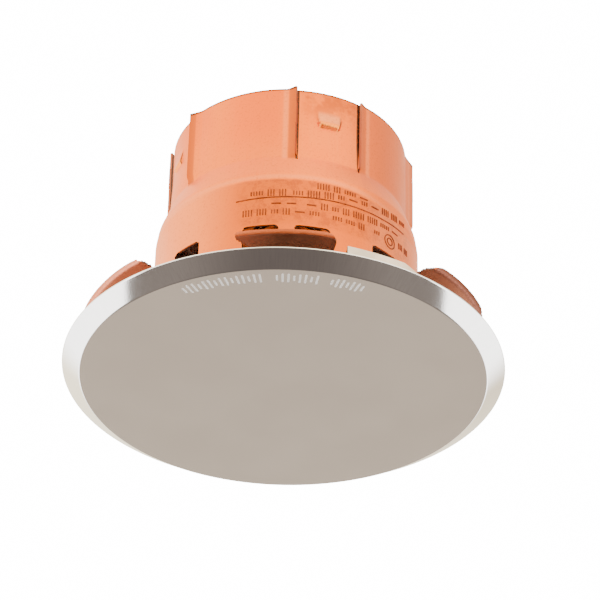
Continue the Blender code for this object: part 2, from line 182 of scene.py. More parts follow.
def rounded_path(corners, step):
    """Evenly spaced points along straight runs joined by curves; each corner is (radius, z, rounding)."""
    line = [np.array(corners[0][:2], float)]
    for before, here, after in zip(corners, corners[1:], corners[2:]):
        line += rounded(before, here, after, here[2], 9)
    line = np.array([*line, corners[-1][:2]])
    along = np.concatenate([[0], np.cumsum(np.linalg.norm(np.diff(line, axis=0), axis=1))])
    count = max(2, int(round(along[-1] / step)) + 1)
    even = np.linspace(0, along[-1], count)
    return np.column_stack([np.interp(even, along, line[:, 0]), np.interp(even, along, line[:, 1])])


def turned(profile, segments, centre=(0.0, 0.0), shape=None):
    """A closed solid from a loop of (radius, z) points round the axis; shape can move a point sideways."""
    shell = bmesh.new()
    rings = []
    for radius, z in profile:
        if radius < 1e-6:
            rings.append([shell.verts.new((centre[0], centre[1], z))])
            continue
        ring = []
        for k in range(segments):
            turn = 2 * math.pi * k / segments
            x, y = radius * math.cos(turn), radius * math.sin(turn)
            if shape:
                x, y = shape(x, y, z, turn)
            ring.append(shell.verts.new((centre[0] + x, centre[1] + y, z)))
        rings.append(ring)
    for upper, lower in zip(rings, rings[1:] + rings[:1]):
        for k in range(segments):
            n = (k + 1) % segments
            above = [upper[k % len(upper)], upper[n % len(upper)]]
            corners = list(dict.fromkeys([*above, lower[n % len(lower)], lower[k % len(lower)]]))
            if len(corners) > 2:
                shell.faces.new(corners)
    return shell


def eased(corners):
    """A closed profile with its corners rounded; each corner is (radius, z) or (radius, z, rounding)."""
    line = []
    for k, here in enumerate(corners):
        rounding = here[2] if len(here) > 2 else 0
        after = corners[(k + 1) % len(corners)]
        line += [tuple(point) for point in rounded(corners[k - 1], here, after, rounding, 5)]
    return line


def lathe(name, corners, segments, centre=(0.0, 0.0), shape=None, sharp=38):
    return from_bmesh(name, turned(eased(corners), segments, centre, shape), sharp)


def swept(sections, ring=False):
    """A closed solid through a row of sections with the same number of corners, or round a ring of them."""
    shell = bmesh.new()
    rows = [[shell.verts.new(point) for point in section] for section in sections]
    count = len(rows[0])
    for before, after in zip(rows, rows[1:] + rows[:1] if ring else rows[1:]):
        for side in range(count):
            n = (side + 1) % count
            shell.faces.new((before[side], before[n], after[n], after[side]))
    if not ring:
        shell.faces.new(reversed(rows[0]))
        shell.faces.new(rows[-1])
    return shell


def bevelled(shell, width, segments=2):
    edges = [e for e in shell.edges if len(e.link_faces) == 2 and e.calc_face_angle() > 0.6]
    bmesh.ops.bevel(shell, geom=edges, offset=width, segments=segments, profile=0.5, affect="EDGES",
                    clamp_overlap=True)
    return shell


def extruded(outline, foot, top):
    shell = bmesh.new()
    lower = [shell.verts.new((x, y, foot)) for x, y in outline]
    upper = [shell.verts.new((x, y, top)) for x, y in outline]
    shell.faces.new(reversed(lower))
    shell.faces.new(upper)
    for one in range(len(outline)):
        two = (one + 1) % len(outline)
        shell.faces.new((lower[one], lower[two], upper[two], upper[one]))
    return shell


def stadium(length, width, steps):
    """The outline of a slot or bar that lies along x and has round ends."""
    middle, end = (length - width) / 2, width / 2
    turns = [math.pi * (k / steps - 0.5) for k in range(steps + 1)]
    half = [(middle + end * math.cos(turn), end * math.sin(turn)) for turn in turns]
    return half + [(-x, -y) for x, y in half]


def moved(shell, matrix):
    bmesh.ops.transform(shell, matrix=matrix, verts=shell.verts)
    return shell


def together(shells):
    """Several closed shells in one bmesh."""
    whole = bmesh.new()
    for shell in shells:
        spare = bpy.data.meshes.new("spare")
        shell.to_mesh(spare)
        shell.free()
        whole.from_mesh(spare)
        bpy.data.meshes.remove(spare)
    return whole


# Retainer

def smooth(low, high, value):
    share = np.clip((value - low) / (high - low), 0, 1)
    return share * share * (3 - 2 * share)


def nearest(centres, degrees):
    """Which of several centres is nearest, and the signed angle from it."""
    gaps = np.array([(degrees - c + 180) % 360 - 180 for c in centres])
    which = np.argmin(np.abs(gaps), axis=0)
    return which, np.take_along_axis(gaps, which[None], axis=0)[0]


def angle_from(centres, degrees):
    return nearest(centres, degrees)[1]


def rounded_box(x, y, half_x, half_y, corner):
    """Signed distance to a box with round corners, negative inside."""
    dx = np.abs(x) - half_x + corner
    dy = np.abs(y) - half_y + corner
    outside = np.hypot(np.maximum(dx, 0), np.maximum(dy, 0))
    return outside + np.minimum(np.maximum(dx, dy), 0) - corner


class Skirt:
    """The stamped sheet: its middle surface over (angle, length along the section), and where it is cut."""

    def __init__(self):
        self.path = rounded_path([
            (BARREL_R, BARREL_TOP, 0), (BARREL_R, 36.3, 1.6), (24.95, 31.0, 2.2), (25.3, 28.6, 2.5),
            (25.35, 5.0, 1.5), (27.2, 4.9, 1.5), (38.65, 7.9, 0.35), (38.95, 8.5, 0),
        ], 0.05)
        steps = np.linalg.norm(np.diff(self.path, axis=0), axis=1)
        self.along = np.concatenate([[0], np.cumsum(steps)])
        self.length = self.along[-1]
        low = np.argmin(self.path[:, 1])
        self.root_s = np.interp(NOTCH_ROOT_R, self.path[low:, 0], self.along[low:])
        self.low_s = self.along[low]
        before = np.array(NOTCH_CENTRES)
        after = np.append(before[1:], before[0] + 360)
        self.wings = (before + after) / 2
        self.wing_halves = (after - before) / 2 - NOTCH_HALF_ANGLE

    def section(self, s):
        return np.interp(s, self.along, self.path[:, 0]), np.interp(s, self.along, self.path[:, 1])

    def missing(self, degrees, s):
        """Distance in millimetres past the metal's edge, negative in the metal."""
        radius, z = self.section(s)
        which, wing = nearest(self.wings, degrees)
        left_of_near = (wing < 0) * (which == NEAR_WING)
        undercut = WING_UNDERCUT * left_of_near * np.clip((UNDERCUT_FROM_R - radius) / UNDERCUT_DEPTH, 0, 1)
        half = np.radians(self.wing_halves[which] + np.array(WING_WIDER)[which] - undercut) * radius
        wing = np.radians(wing) * radius
        reach = self.length - self.root_s
        blade = rounded_box(wing, s - self.root_s + reach, half, 2 * reach, np.array(WING_CORNERS)[which])
        root = s - self.root_s
        blend = np.clip(0.5 + 0.5 * (root - blade) / ROOT_FILLET, 0, 1)
        edge = root + (blade - root) * blend - ROOT_FILLET * blend * (1 - blend)
        # The wings' notches end at their roots, and the windows at the bowl.
        edge = np.where(s < self.root_s - 3, -2.0, edge)
        pair = np.abs(angle_from(WINDOW_PAIRS, degrees)) - WINDOW_MIDDLE
        high = (WINDOW_TOP + WINDOW_FOOT) / 2
        window = rounded_box(np.radians(pair) * radius, z - high, np.radians(WINDOW_HALF_ANGLE) * radius,
                             WINDOW_TOP - high, WINDOW_CORNER)
        window = np.where(s < self.low_s, window, 9.0)
        edge = np.maximum(edge, -window)
        slit = np.abs(angle_from(FINGER_CENTRES, degrees)) - FINGER_HALF_ANGLE
        taper = SLIT_HALF_WIDTH * smooth(SLIT_FOOT - 0.4, SLIT_FOOT + 1.5, z) + 0.02
        gap = np.maximum(np.abs(np.radians(slit) * radius - 0.6 * taper) - taper, SLIT_FOOT - z)
        return np.maximum(edge, -gap)

    def place(self, degrees, s):
        """Points of the middle surface."""
        radius, z = self.section(s)
        number, finger = nearest(FINGER_CENTRES, degrees)
        beside = np.abs(finger) - FINGER_HALF_ANGLE
        free = smooth(SLIT_FOOT, SLIT_FOOT + 9, z)
        lean = -FINGER_LEAN * free * (beside < 0)
        height, share = flare(number, finger, beside)
        bent = height * share * smooth(SLIT_FOOT - 0.3, SLIT_FOOT + 2.4, z)
        across = np.abs(np.radians(finger) * BARREL_R)
        down = (TOOTH_TOP - z) / (TOOTH_TOP - TOOTH_FOOT)
        width = TOOTH_HALF_WIDTH * (1 - 0.3 * np.clip(down, 0, 1) ** 2.5)
        swell = np.clip(down / 0.8, 0, 1) ** 1.2 * (1 - smooth(0.82, 1.0, down))
        tooth = np.array(TOOTH_RISES)[number] * swell * (1 - smooth(0.8, 1.0, across / width))
        wave = 0.06 * np.sin(np.radians(3 * degrees + 40)) * smooth(40, 50, z)
        radius = radius + lean + bent + tooth + wave
        z = z + 0.3 * share * smooth(46, 52, z)
        edge = np.clip(1 + beside / 4, 0, 1) ** 2 * (beside < 0)
        tucked = degrees + FINGER_TUCK * np.sign(finger) * edge * smooth(SLIT_FOOT + 0.6, SLIT_FOOT + 2.6, z)
        tip = np.clip((s - self.root_s) / (self.length - self.root_s), 0, 1)
        which, wing = nearest(self.wings, degrees)
        wing = np.clip(wing / self.wing_halves[which], -1, 1)
        z = z + tip * (np.array(WING_LIFTS)[which] - 0.2 * wing**4 + 0.08 * np.sin(np.radians(7 * degrees)))
        turn = np.radians(tucked)
        return np.stack([radius * np.sin(turn), -radius * np.cos(turn), z], axis=-1)


def flare(number, finger, beside):
    """How far the free edge beside each slit is bent out, and the share of it reached at each angle."""
    height = np.full(finger.shape, OTHER_FLARE[0])
    reach = np.full(finger.shape, OTHER_FLARE[1])
    for (index, side), (most, angle) in FLARES.items():
        here = (number == index) & (np.sign(finger) == side)
        height[here], reach[here] = most, angle
    return height, np.clip(1 - beside / reach, 0, 1) ** 1.4 * (beside >= 0)


def row_places(skirt):
    """Lengths along the section, close together where the sheet has detail."""
    heights = [(BARREL_TOP, 0.5), (48.7, 0.14), (43.7, 0.8), (37.6, 0.3), (28.2, 0.9), (19.8, 0.2),
               (18.0, 0.9), (9.4, 0.2), (7.6, 0.25)]
    low = int(np.argmin(skirt.path[:, 1]))
    ends = [float(np.interp(-z, -skirt.path[:low, 1], skirt.along[:low])) for z, _step in heights]
    ends.append(skirt.length)
    parts = []
    for a, b, (_, step) in zip(ends, ends[1:], heights):
        parts.append(np.linspace(a, b, max(2, int(round((b - a) / step)) + 1))[:-1])
    return np.concatenate([*parts, [skirt.length]])


def slopes(skirt, degrees, s, to_mm, nudge=0.02):
    """How fast the distance past the metal's edge grows, round the sheet and along its section."""
    turn = nudge / to_mm
    round_it = skirt.missing(degrees + turn, s) - skirt.missing(degrees - turn, s)
    along_it = skirt.missing(degrees, s + nudge) - skirt.missing(degrees, s - nudge)
    return round_it / (2 * nudge), along_it / (2 * nudge)


def snapped_grid(skirt, columns):
    """Grid over the sheet whose points near an edge are drawn onto it."""
    rows = row_places(skirt)
    gaps = np.gradient(rows)[:, None]
    degrees, s = np.meshgrid(np.linspace(0, 360, columns, endpoint=False), rows)
    for _ in range(2):
        to_mm = np.radians(1) * skirt.section(s)[0]
        cell = np.minimum(360 / columns * to_mm, gaps)
        here = skirt.missing(degrees, s)
        slope_a, slope_s = slopes(skirt, degrees, s, to_mm)
        size = np.maximum(slope_a**2 + slope_s**2, 1e-3)
        close = np.abs(here) < 0.55 * cell
        degrees = np.where(close, degrees - here * slope_a / size / to_mm, degrees)
        s = np.clip(np.where(close, s - here * slope_s / size, s), 0, skirt.length)
    return degrees, s


def sheet_solid(name, points, keep, thickness):
    """Gives a closed ring-shaped grid of quads a thickness; keep says which quads are metal."""
    rows, columns = points.shape[:2]
    index = np.arange(rows * columns).reshape(rows, columns)
    right = np.roll(index, -1, axis=1)
    quads = np.stack([index[:-1], right[:-1], right[1:], index[1:]], axis=-1)[keep]
    flat = points.reshape(-1, 3)
    normals = np.zeros_like(flat)
    corners = flat[quads]
    face_normal = np.cross(corners[:, 2] - corners[:, 0], corners[:, 3] - corners[:, 1])
    for k in range(4):
        np.add.at(normals, quads[:, k], face_normal)
    normals /= np.maximum(np.linalg.norm(normals, axis=1, keepdims=True), 1e-9)
    used, compact = np.unique(quads, return_inverse=True)
    quads = compact.reshape(-1, 4)
    inner = flat[used] + normals[used] * thickness / 2
    outer = flat[used] - normals[used] * thickness / 2
    count = len(used)
    edges = [(a, b) for quad in quads for a, b in zip(quad, np.roll(quad, -1))]
    known = set(edges)
    rim = [(a, b) for a, b in edges if (b, a) not in known]
    faces = [tuple(q) for q in quads]
    faces += [tuple(q[::-1] + count) for q in quads]
    faces += [(b, a, a + count, b + count) for a, b in rim]
    mesh = bpy.data.meshes.new(name)
    corners = [tuple(point) for point in np.concatenate([inner, outer]) * MM]
    mesh.from_pydata(corners, [], [tuple(int(i) for i in face) for face in faces])
    mesh.validate()
    solid = linked(name, mesh, 38)
    side = np.full(len(faces), 2)
    side[:len(quads)] = 1
    side[len(quads):2 * len(quads)] = 0
    solid.data.polygons.foreach_set("material_index", side)
    return solid


def make_skirt(columns=640):
    skirt = Skirt()
    degrees, s = snapped_grid(skirt, columns)

    def middles(grid, lap):
        grid = np.concatenate([grid, grid[:, :1] + lap], axis=1)
        return (grid[:-1, :-1] + grid[1:, :-1] + grid[:-1, 1:] + grid[1:, 1:]) / 4

    keep = skirt.missing(middles(degrees, 360), middles(s, 0)) < 0
    return sheet_solid("retainer_skirt", skirt.place(degrees, s), keep, SHEET_T)


def make_legs():
    """Tabs from the flange's root down to the plate, each with a flat foot that solder holds."""
    end = LEG_FOOT_R + 2.4
    line = rounded_path([(25.4, 5.1, 0), (27.3, 4.95, 1.2), (29.1, LEG_FOOT, 1.4), (end, LEG_FOOT, 0)], 0.3)
    sections = []
    for k, (radius, z) in enumerate(line):
        near, far = line[max(k - 1, 0)], line[min(k + 1, len(line) - 1)]
        along = Vector((0, -(far[0] - near[0]), far[1] - near[1])).normalized()
        up = Vector((1, 0, 0)).cross(along) * -SHEET_T / 2
        taper = LEG_HALF_WIDTH * (1 - 0.35 * smooth(end - 1.2, end, radius) ** 2)
        here = Vector((0, -radius, z))
        across = Vector((float(taper), 0, 0))
        sections.append((here - across - up, here + across - up, here + across + up, here - across + up))
    legs = [moved(bevelled(swept(sections), 0.08), about_z(degrees)) for degrees in LEG_ANGLES]
    return from_bmesh("solder_legs", together(legs))


def on_wall(degrees, z, half_height):
    """One section of a mark, from just inside the bowl's sheet to a hair outside it."""
    low, high = BOWL_OUTSIDE_R - MARK_SUNK, BOWL_OUTSIDE_R + MARK_PROUD
    return [polar(radius, degrees, up) for radius, up in oblong(low, high, z - half_height, z + half_height)]


def wall_mark(centre, z, width, height):
    half = math.degrees(width / 2 / BOWL_OUTSIDE_R)
    count = max(1, int(width / 0.6)) + 1
    places = np.linspace(centre - half, centre + half, count)
    return swept([on_wall(degrees, z, height / 2) for degrees in places])


def make_wall_marks():
    """Plain bars and dashes in rows round the bowl, where a maker would stamp a rating."""
    pick = np.random.default_rng(7)
    shells = []

    def row(start, end, low, slope, bend, height, gaps=()):
        at = start
        while at < end:
            z = low + slope * max(0.0, at - bend)
            if any(a < at < b for a, b in gaps):
                at += 1.0
            elif pick.random() < 0.25:
                half = math.degrees(DASH / 2 / BOWL_OUTSIDE_R)
                shells.append(wall_mark(at + half, z, DASH, 0.24))
                at += 2 * half + 2.4
            else:
                tall = height * pick.choice([0.6, 1.0])
                for _ in range(pick.integers(3, 6)):
                    shells.append(wall_mark(at, low + slope * max(0.0, at - bend), 0.22, tall))
                    at += 1.2
                at += 1.3

    row(12.5, 33, 28.35, 0.0, 0, 1.3)
    row(-15.8, 62, 26.25, 0.042, 10, 1.45, gaps=((-3.2, 1.6), (27.0, 29.5)))
    row(-7.0, 54, 23.75, 0.028, 22, 1.4, gaps=((1.5, 7.5), (33, 35.5)))
    row(-19.0, 13.5, 21.9, 0.0, 0, 1.4, gaps=((-6.8, -4.2),))
    row(19.5, 35.5, 21.75, 0.0, 0, 1.4)
    row(40, 62, 22.0, 0.03, 40, 1.3, gaps=((44, 55),))
    start, end, steps = -22.4, 60.0, 70
    sections = []
    for k in range(steps + 1):
        degrees = start + (end - start) * k / steps
        z = 25.0 + 0.012 * (degrees - start) + 0.02 * max(0.0, degrees - 45)
        sections.append(on_wall(degrees, z, 0.1))
    shells.append(swept(sections))
    for ring_r in (1.45, 0.75):
        rows = []
        section = oblong(ring_r - 0.12, ring_r + 0.12, -MARK_SUNK, MARK_PROUD)
        for turn in np.linspace(0, 2 * math.pi, 28, endpoint=False):
            corners = []
            for radius, proud in section:
                degrees = 49.3 + math.degrees(radius * math.cos(turn) / BOWL_OUTSIDE_R)
                corners.append(polar(BOWL_OUTSIDE_R + proud, degrees, 21.8 + radius * math.sin(turn)))
            rows.append(corners)
        shells.append(swept(rows, ring=True))
    return from_bmesh("stamped_rows", together(shells))


# Cover plate, solder and springs

def make_plate():
    outside = PLATE_RISE + RIM_T
    profile = [
        (0, PLATE_T), (PLATE_FACE_R - 0.3, PLATE_T, 0.8), (PLATE_RIM_R - 0.25, outside, 0.12),
        (PLATE_RIM_R, outside - 0.05, 0.12), (PLATE_RIM_R, PLATE_RISE + 0.12, 0.1),
        (PLATE_RIM_R - 0.2, PLATE_RISE - 0.02, 0.1), (PLATE_FACE_R + 0.15, 0.03, 0.9), (0, 0.03),
    ]
    return lathe("plate", profile, 320, sharp=50)


def plate_bar(radius, degrees, length, width):
    """A short raised bar on the plate's face with round ends."""
    shell = extruded(stadium(length, width, 6), 0.002, 0.1)
    return moved(shell, about_z(degrees) @ Matrix.Translation((0, -radius, 0)) @ about_z(90))


def make_plate_marks():
    """Groups of plain ticks round the near edge of the face, where a plate carries a warning."""
    shells = []
    for start, end in ((-30.6, -7.4), (-2.6, 9.0), (13.4, 22.6)):
        count = round((end - start) / 1.65)
        for k in range(count + 1):
            length = 2.7 if k % 3 else 1.7
            shells.append(plate_bar(35.8, start + (end - start) * k / count, length, 0.4))
    return from_bmesh("plate_ticks", together(shells))


def make_solder(degrees, name):
    centre = polar(LEG_FOOT_R, degrees, 0)
    foot, top = PLATE_T + 0.3, PLATE_T + 0.8

    def puddle(x, y, z, turn):
        swell = 1 - 0.05 * (1 + math.sin(3 * turn + degrees)) - 0.03 * (1 + math.sin(5 * turn))
        return x * swell, y * swell

    profile = [(0, top), (1.7, top, 0.15), (1.9, foot + 0.12, 0.1), (1.88, foot, 0.05), (0, foot)]
    return lathe(name, profile, 64, centre.xy, puddle)


def make_spring(k, name):
    """A leaf round the notch, on a tab that runs in under the flange."""
    steps = 40
    sections = []
    for step in range(steps + 1):
        share = step / steps
        turn = SPRING_START + (SPRING_END - SPRING_START) * share
        foot = 4.6 - 1.7 * share
        top = SPRING_TOP - 1.15 * max(0.0, share - 0.8) / 0.2 - 0.1 * math.sin(math.pi * share)
        lean = 0.03 * math.sin(2 * math.pi * share)
        corners = oblong(SPRING_R + lean, SPRING_R + SPRING_T, foot, top)
        sections.append([polar(radius, turn, z) for radius, z in corners])
    band = bevelled(swept(sections), 0.09)
    tab_z, across, half = SPRING_TAB_TOP - 0.2, 2 * SPRING_TAB_HALF_WIDTH, SPRING_T / 2
    line = rounded_path([(SPRING_TAB_R - 1.2, tab_z, 0), (SPRING_TAB_R + 3.0, tab_z, 3.0),
                         (SPRING_R - 1.0, 5.0, 0.6), (SPRING_R + 0.15, 5.5, 0)], 0.4)
    sections = []
    for radius, z in line:
        sections.append([(x, -radius, height) for x, height in oblong(0, across, z - half, z + half)])
    arm = moved(bevelled(swept(sections), 0.08), about_z(SPRING_START))
    whole = together([band, arm])
    return from_bmesh(name, moved(whole, about_z(SPRING_ANGLES[k])))


def make_rivet(k, name):
    centre = polar(RIVET_AT_R, SPRING_ANGLES[k] + RIVET_OFFSET, 0)
    profile = [(0, 6.4), (1.15, 6.4, 0.3), (1.6, 5.95, 0.15), (1.6, 5.8), (0.9, 5.8), (0.9, 3.6), (1.6, 3.6),
               (1.6, 3.45, 0.12), (1.2, 3.0, 0.3), (0, 3.0)]
    return lathe(name, profile, 48, centre.xy)


# Sprinkler body

def make_inlet():
    def cut_shape(x, y, z, turn):
        radius = math.hypot(x, y)
        if radius > INLET_R - 0.1 and z > THREAD_FOOT:
            share = z / THREAD_PITCH - turn / (2 * math.pi)
            ridge = abs(2 * (share - math.floor(share)) - 1)
            depth = THREAD_DEPTH * float(smooth(0.12, 0.88, ridge))
            depth *= float(smooth(THREAD_FOOT, THREAD_FOOT + 1.2, z))
            scale = (radius - depth) / radius
            return x * scale, y * scale
        if radius > 10.5 and z < SHOULDER_TOP + 0.2:
            return max(-WRENCH_FLATS / 2, min(WRENCH_FLATS / 2, x)), y
        return x, y

    corners = [(8.0, INLET_TOP, 0.2), (INLET_R - 0.8, INLET_TOP, 0.1)]
    corners += [(INLET_R, z) for z in np.arange(INLET_TOP - 0.5, THREAD_FOOT, -THREAD_PITCH / 10)]
    corners += [(10.1, THREAD_FOOT - 0.6), (10.1, SHOULDER_TOP, 0.2), (10.9, SHOULDER_TOP),
                (11.7, SHOULDER_TOP), (13.0, SHOULDER_TOP, 0.35), (13.0, 34.2, 0.3), (12.2, 33.4, 0.2),
                (5.5, 33.4, 0.15), (5.5, 41.4, 0.4), (7.7, THREAD_FOOT, 0.5)]
    return turned(eased(corners), 200, shape=cut_shape)


def make_arm(side):
    top, bow = Vector((0, 10.8, 35.4)), Vector((0, 14.0, 24.0))
    knee, foot = Vector((0, 11.6, 12.6)), Vector((0, 2.6, 12.0))
    sections = []
    steps = 40
    for step in range(steps + 1):
        s = step / steps
        r = 1 - s
        point = r**3 * top + 3 * r * r * s * bow + 3 * r * s * s * knee + s**3 * foot
        slope = 3 * r * r * (bow - top) + 6 * r * s * (knee - bow) + 3 * s * s * (foot - knee)
        across = Vector((0, -slope.z, slope.y)).normalized()
        section = []
        for k in range(20):
            turn = 2 * math.pi * k / 20
            c, n = math.cos(turn), math.sin(turn)
            wide = 1.9 * (1 - 0.1 * math.sin(math.pi * s)) * math.copysign(abs(c) ** 0.6, c)
            deep = 1.2 * math.copysign(abs(n) ** 0.7, n)
            p = point + across * deep + Vector((wide, 0, 0))
            section.append(Vector((p.x, side * p.y, p.z)))
        sections.append(section)
    return swept(sections)


def make_body():
    profile = [(0, 14.6), (4.2, 14.6, 0.4), (4.2, 10.1, 0.4), (3.7, 9.6, 0.3), (2.0, 9.6), (2.0, 11.0),
               (0, 11.0)]
    yoke = turned(eased(profile), 72)
    ears = bevelled(extruded(stadium(2 * (PIN_AT + EAR_R), 2 * EAR_R, 24), 12.0, 14.2), 0.25)
    return from_bmesh("frame_casting", together([make_inlet(), make_arm(1), make_arm(-1), ears, yoke]))


def hexagon(flats, turn):
    """Distance from the axis to a hexagon's side in this direction."""
    return flats / 2 / math.cos((turn + math.pi / 6) % (math.pi / 3) - math.pi / 6)


def make_nut():
    """A hexagon whose corners a cone cuts off above and below."""
    foot, top, bore_r, cone_r = 38.9, 42.9, 10.5, 13.0
    sections = []
    for k in range(360):
        turn = math.radians(k)
        reach = hexagon(NUT_FLATS, turn)
        fall = (reach - cone_r) * math.tan(math.radians(30))
        profile = [(bore_r, top - 0.3), (bore_r + 0.3, top), (cone_r, top), (reach, top - fall),
                   (reach, foot + fall), (cone_r, foot), (bore_r, foot)]
        sections.append([(radius * math.cos(turn), radius * math.sin(turn), z) for radius, z in profile])
    return from_bmesh("hex_nut", swept(sections, ring=True), sharp=15)


def make_ring():
    """The steel disc that the retainer's fingers grip, with six vents."""
    ring = lathe("ring", [(10.5, 38.6, 0.1), (22.3, 38.6, 0.35), (22.3, 37.3, 0.35), (10.5, 37.3, 0.1)], 240)
    shells = []
    for k in range(6):
        place = about_z(30 + 60 * k) @ Matrix.Translation((0, -VENTS_AT, 0))
        shells.append(moved(extruded(stadium(7.5, 2.6, 8), 36, 40), place))
    cut(ring, from_bmesh("ring_vents", together(shells)))
    return ring


def cut(obj, cutter):
    """Takes the cutter out of obj, and the cutter out of the file."""
    modifier = obj.modifiers.new("cut", "BOOLEAN")
    modifier.operation = "DIFFERENCE"
    modifier.solver = "EXACT"
    modifier.object = cutter
    graph = bpy.context.evaluated_depsgraph_get()
    mesh = bpy.data.meshes.new_from_object(obj.evaluated_get(graph))
    obj.modifiers.clear()
    obj.data = mesh
    mesh.shade_smooth()
    mesh.set_sharp_from_angle(angle=math.radians(35))
    bpy.data.objects.remove(cutter)


def make_valve():
    profile = [(0, 35.6), (4.6, 35.6, 0.3), (4.9, 35.2, 0.1), (4.9, 32.5, 0.2), (6.6, 32.4, 0.2),
               (6.6, 31.3, 0.3), (2.7, 31.0, 0.4), (2.3, 30.0, 0.3), (1.2, 30.0, 0.1), (1.0, 30.6), (0, 30.6)]
    return lathe("valve", profile, 96)


def make_washer():
    profile = [(5.3, 33.2, 0.05), (7.0, 32.85, 0.08), (7.0, 32.62, 0.08), (5.3, 32.97, 0.05)]
    return lathe("washer", profile, 96)


def make_screw():
    profile = [(0, 13.4), (1.1, 13.4), (1.25, 14.0, 0.1), (2.0, 14.0, 0.3), (2.0, 9.8, 0.3), (0, 9.8)]
    screw = lathe("screw", profile, 64)

    def six(_x, _y, _z, turn):
        reach = hexagon(2.0, turn)
        return reach * math.cos(turn), reach * math.sin(turn)

    cut(screw, from_bmesh("socket", turned([(0, 11.2), (1, 11.2), (1, 8.8), (0, 8.8)], 48, shape=six)))
    return screw


def make_bulb():
    profile = [(0, 30.3), (0.42, 30.28, 0.1), (0.72, 29.95, 0.2), (0.78, 28.7, 0.4), (1.35, 27.9, 0.6),
               (1.9, 26.9, 1.0), (1.9, 16.7, 1.0), (1.45, 15.4, 0.6), (0.85, 14.6, 0.4), (0.6, 13.75, 0.15),
               (0, 13.7)]
    return lathe("bulb", profile, 64, sharp=60)


def make_liquid():
    profile = [(0, 27.0), (0.9, 26.9, 0.3), (1.55, 26.2, 0.5), (1.6, 17.0, 0.8), (1.15, 15.9, 0.4), (0, 15.4)]
    return lathe("liquid", profile, 48, sharp=60)


def make_bubble():
    profile = [(0.62 * math.sin(a), 26.15 + 0.75 * math.cos(a)) for a in np.linspace(0, math.pi, 13)]
    profile[0], profile[-1] = (0, profile[0][1]), (0, profile[-1][1])
    return from_bmesh("bubble", turned(profile, 32), sharp=80)


def make_deflector():
    top = DEFLECTOR_FOOT + DEFLECTOR_T
    profile = [(0, top + 0.5), (2.1, top + 0.5, 0.3), (3.1, top, 0.4), (DEFLECTOR_R, top, 0.15),
               (DEFLECTOR_R, DEFLECTOR_FOOT, 0.15), (3.0, DEFLECTOR_FOOT, 0.3),
               (2.0, DEFLECTOR_FOOT + 0.4, 0.2), (0, DEFLECTOR_FOOT + 0.4)]
    disc = lathe("disc", profile, 192)
    shells = []
    root_r, mouth = 0.62, 0.85
    for k in range(12):
        root_at = DEFLECTOR_R - (5.5 if k % 3 else 4.2) + root_r
        outer = DEFLECTOR_R + 1
        outline = [(mouth, -outer), (root_r, -root_at)]
        outline += [(root_r * math.cos(a), root_r * math.sin(a) - root_at) for a in np.linspace(0.3, 2.84, 7)]
        outline += [(-root_r, -root_at), (-mouth, -outer)]
        shell = moved(extruded(outline, 3, 7), about_z(30 * k + 15))
        bmesh.ops.recalc_face_normals(shell, faces=shell.faces)
        shells.append(shell)
    for side in (-1, 1):
        shells.append(turned([(0, 7), (1.3, 7), (1.3, 3), (0, 3)], 32, (side * PIN_AT, 0)))
    cut(disc, from_bmesh("slots", together(shells)))
    return disc


def make_pin(side, name):
    profile = [(0, 30.6), (0.7, 30.6, 0.1), (1.0, 30.3, 0.1), (1.0, 3.9), (1.8, 3.9, 0.15), (1.65, 3.1, 0.25),
               (0, 3.1)]
    return lathe(name, profile, 40, (side * PIN_AT, 0))


def make_stop(side, name):
    profile = [(1.3, 30.0, 0.1), (2.1, 30.0, 0.2), (2.1, 28.9, 0.2), (1.3, 28.9, 0.1)]
    return lathe(name, profile, 40, (side * PIN_AT, 0))


# Materials

class Nodes:
    """Short ways to add nodes to a tree."""

    def __init__(self, tree):
        self.nodes, self.links = tree.nodes, tree.links

    def put(self, socket, value):
        if isinstance(value, (int, float)):
            socket.default_value = value
        elif isinstance(value, tuple):
            socket.default_value = (*value, 1) if len(socket.default_value) == 4 else value
        elif value is not None:
            self.links.new(value, socket)

    def maths(self, operation, a, b=None, c=None):
        node = self.nodes.new("ShaderNodeMath")
        node.operation = operation
        for socket, value in zip(node.inputs, (a, b, c)):
            self.put(socket, value)
        return node.outputs[0]

    def size(self, value):
        return self.maths("ABSOLUTE", value)

    def product(self, *factors):
        whole = factors[0]
        for factor in factors[1:]:
            whole = self.maths("MULTIPLY", whole, factor)
        return whole

    def ramp(self, value, low, high, start=0.0, end=1.0):
        node = self.nodes.new("ShaderNodeMapRange")
        node.interpolation_type = "SMOOTHSTEP"
        for name, number in (("Value", value), ("From Min", low), ("From Max", high), ("To Min", start),
                             ("To Max", end)):
            self.put(node.inputs[name], number)
        return node.outputs["Result"]

    def mix(self, share, first, second, blend="MIX"):
        node = self.nodes.new("ShaderNodeMix")
        node.data_type = "RGBA"
        node.blend_type = blend
        self.put(node.inputs["Factor"], share)
        for name, value in (("A", first), ("B", second)):
            socket = next(s for s in node.inputs if s.name == name and s.type == "RGBA")
            self.put(socket, value)
        return next(s for s in node.outputs if s.type == "RGBA")


